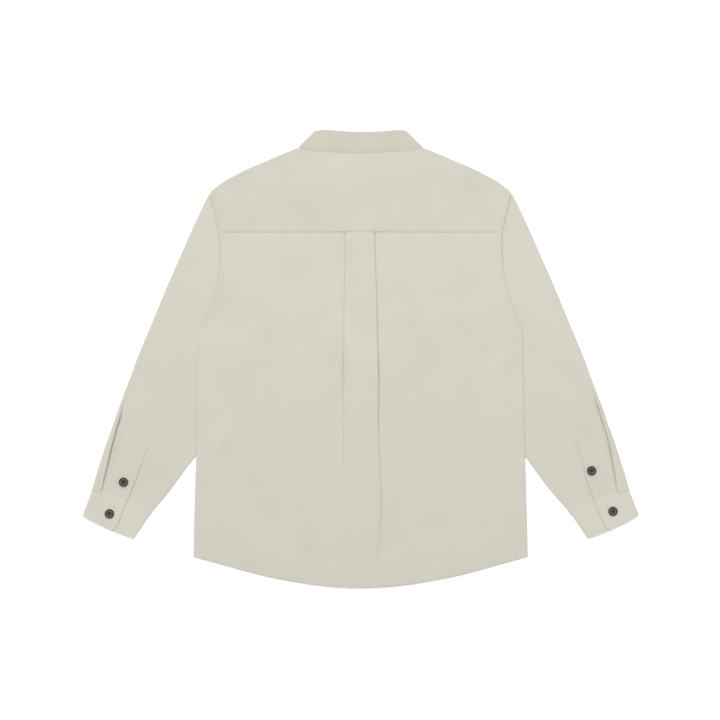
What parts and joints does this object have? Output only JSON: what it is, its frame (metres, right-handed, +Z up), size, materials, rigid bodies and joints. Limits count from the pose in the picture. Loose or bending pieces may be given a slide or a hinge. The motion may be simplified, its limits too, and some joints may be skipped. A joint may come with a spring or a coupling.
{
  "type": "shirt jacket",
  "caption": "Boxy shirt jacket in woven cotton, laid flat on its front: band collar, back yoke, box pleat, pleated sleeves with buttoned cuffs, curved hem.",
  "frame": {"origin": "centre of the bounding box at the surface the garment lies on", "axes": "+X across the body toward the wearer's right sleeve, +Y from the hem to the collar, +Z up out of the surface, through the front panels and then the back"},
  "size_m": [0.9466, 0.7774, 0.0127],
  "materials": {
    "cloth": "plain-woven cotton, pale stone",
    "button": "dark resin, satin"
  },
  "bodies": {
    "root": {"back": "cloth", "yoke": "cloth", "front_left": "cloth", "front_right": "cloth", "front_band": "cloth", "collar": "cloth", "sleeve_left": "cloth", "sleeve_right": "cloth", "cuff_left": "cloth", "cuff_right": "cloth", "placket_left": "cloth", "placket_right": "cloth", "front_button_1": "button", "front_button_2": "button", "front_button_3": "button", "front_button_4": "button", "front_button_5": "button", "front_button_6": "button", "collar_button": "button", "placket_button_left": "button", "placket_button_right": "button", "cuff_button_left": "button", "cuff_button_right": "button"}
  },
  "joints": []
}
